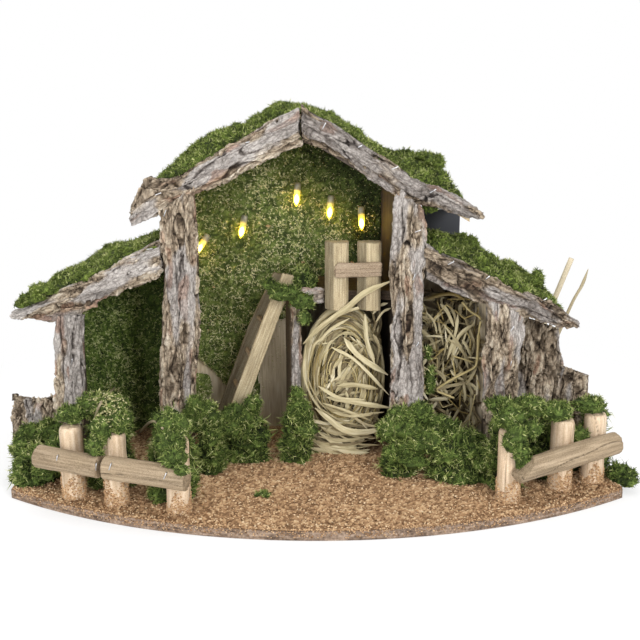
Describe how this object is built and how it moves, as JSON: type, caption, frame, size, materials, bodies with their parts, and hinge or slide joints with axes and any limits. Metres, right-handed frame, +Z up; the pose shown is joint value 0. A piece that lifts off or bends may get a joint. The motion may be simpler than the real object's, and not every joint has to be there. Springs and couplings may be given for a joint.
{
  "type": "nativity stable",
  "caption": "Rustic crib stable on a round-fronted board: gabled bay, two lean-tos, bark posts and eaves, moss roofs, loft, ladder, straw, log fences and warm lamps.",
  "frame": {"origin": "middle of the base board's underside: half way across the board and half way from its curved front to its straight back", "axes": "+X to the right as one faces the open front, +Y to the back, +Z up"},
  "size_m": [0.635, 0.2951, 0.3794],
  "materials": {
    "board": "sawn edge, stained grey-brown",
    "cork": "glued cork granules",
    "plywood": "raw plywood",
    "timber": "sawn pine",
    "bark": "split bark with the rough side out",
    "moss": "dried, dyed moss",
    "loft_board": "stained board",
    "pine": "planed pine, unfinished",
    "rail_wood": "weathered slat",
    "straw": "wood shavings and raffia",
    "sleeve": "shrink sleeve",
    "bulb": "clear rice lamp, lit warm",
    "case_plastic": "moulded, fine texture",
    "switch_plastic": "moulded, ribbed",
    "cell": "plain wrapped cell",
    "contact": "plated spring steel",
    "log": "debarked branch",
    "reed": "dry stalk"
  },
  "bodies": {
    "stable": {"base_board": "board", "ground_granules": "cork", "back_wall_main": "plywood", "back_wall_left": "plywood", "back_wall_right": "plywood", "side_wall_left": "plywood", "side_wall_right": "plywood", "partition_left": "plywood", "partition_right": "plywood", "post_main_left": "timber", "post_main_right": "timber", "post_outer_left": "timber", "post_outer_right": "timber", "bark_post_main_left": "bark", "bark_post_main_right": "bark", "bark_post_outer_left": "bark", "bark_post_outer_right": "bark", "roof_main_left": "plywood", "roof_main_right": "plywood", "roof_lean_left": "plywood", "roof_lean_right": "plywood", "rafters": "timber", "bark_eave_main_left": "bark", "bark_eave_main_right": "bark", "bark_eave_lean_left": "bark", "bark_eave_lean_right": "bark", "moss_roof_main_left": "moss", "moss_roof_main_right": "moss", "moss_roof_lean_left": "moss", "moss_roof_lean_right": "moss", "moss_wall_main": "moss", "moss_wall_left": "moss", "loft_floor": "loft_board", "loft_edge_bark": "bark", "loft_side_board": "loft_board", "loft_prop_bark": "bark", "loft_stub_posts": "pine", "loft_rail": "rail_wood", "ladder_sides": "pine", "ladder_rungs": "rail_wood", "straw_nest": "straw", "straw_winding": "straw", "straw_fill": "straw", "lamp_sleeves": "sleeve", "lamp_bulbs": "bulb", "battery_case": "case_plastic", "battery_cells": "cell", "battery_contacts": "contact", "fence_posts_left": "log", "fence_posts_right": "log", "fence_rails_left": "log", "fence_rail_right": "log", "stump_barks": "bark", "moss_clumps_left": "moss", "moss_clumps_middle": "moss", "moss_clumps_right": "moss", "reeds": "reed"},
    "battery_lid": {"battery_lid": "case_plastic"},
    "battery_switch": {"battery_switch": "switch_plastic"}
  },
  "joints": [
    {"name": "battery_lid_slide", "type": "slide", "parent": "stable", "child": "battery_lid", "axis": [-1, 0, 0], "range_m": [0, 0.06]},
    {"name": "battery_switch_slide", "type": "slide", "parent": "stable", "child": "battery_switch", "axis": [0, 0, 1], "range_m": [0, 0.003]}
  ]
}
